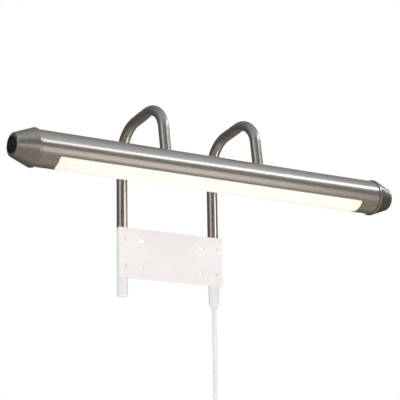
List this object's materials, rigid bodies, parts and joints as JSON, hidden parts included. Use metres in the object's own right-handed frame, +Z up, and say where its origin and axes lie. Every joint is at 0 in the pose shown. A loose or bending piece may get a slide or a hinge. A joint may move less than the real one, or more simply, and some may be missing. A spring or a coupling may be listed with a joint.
{
  "type": "picture light",
  "caption": "Tubular LED picture light with a bright metal head on two bent arms, a white plate that screws to the back of a picture frame, a rocker switch in one end and a white mains cord",
  "frame": {"origin": "centre of the mounting plate's front face, which lies against the back of a picture frame", "axes": "+X runs along the head, with the switch at the -X end; -Y points forward over the picture; +Z is up"},
  "size_m": [0.4041, 0.1065, 0.4193],
  "materials": {
    "bright_metal": "satin nickel plating, lightly brushed along the tube",
    "steel": "zinc-plated steel",
    "brass": "turned brass",
    "brass_plated": "nickel-plated brass pins",
    "aluminium": "mill-finish extrusion",
    "white_paint": "white powder coat",
    "white_plastic": "moulded white plastic",
    "nylon": "natural nylon",
    "black_plastic": "glossy moulded black plastic",
    "opal": "opal diffuser, lit",
    "board": "white solder mask",
    "phosphor": "phosphor-coated LED packages",
    "wire": "insulated wire",
    "cord_sheath": "white PVC sheath"
  },
  "bodies": {
    "bracket": {"mounting_plate": "white_paint", "plate_screws": "white_paint", "left_socket_tube": "white_paint", "right_socket_tube": "white_paint", "joint_sleeves": "steel", "left_end_plug": "white_plastic", "cable_bushing": "white_plastic", "left_arm": "bright_metal", "right_arm": "bright_metal", "arm_lead": "cord_sheath", "core_sleeve": "white_plastic", "left_saddle": "steel", "right_saddle": "steel", "left_liner": "nylon", "right_liner": "nylon", "arm_nuts": "brass", "lock_washers": "steel", "cord_drop": "cord_sheath", "cord_coil": "cord_sheath", "cord_ties": "cord_sheath", "cord_tail": "cord_sheath", "plug_body": "cord_sheath", "plug_pins": "brass_plated"},
    "head": {"head_tube": "bright_metal", "left_end_cap": "bright_metal", "right_end_cap": "bright_metal", "cap_screws": "steel", "diffuser": "opal", "led_carrier": "aluminium", "carrier_screws": "steel", "led_board": "board", "led_chips": "phosphor", "led_driver": "white_plastic", "driver_screws": "steel", "terminal_block": "nylon", "led_wires": "wire", "switch_wires": "wire", "switch_housing": "black_plastic", "switch_terminals": "brass"},
    "rocker": {"switch_rocker": "black_plastic"}
  },
  "joints": [
    {"name": "head_tilt", "type": "hinge", "parent": "bracket", "child": "head", "pos_m": [0, -0.0715, 0.063], "axis": [1, 0, 0], "range_deg": [0, 60]},
    {"name": "rocker_switch", "type": "hinge", "parent": "head", "child": "rocker", "pos_m": [-0.201, -0.0715, 0.063], "axis": [0, -0.2588, -0.9659], "range_deg": [0, 16]}
  ]
}
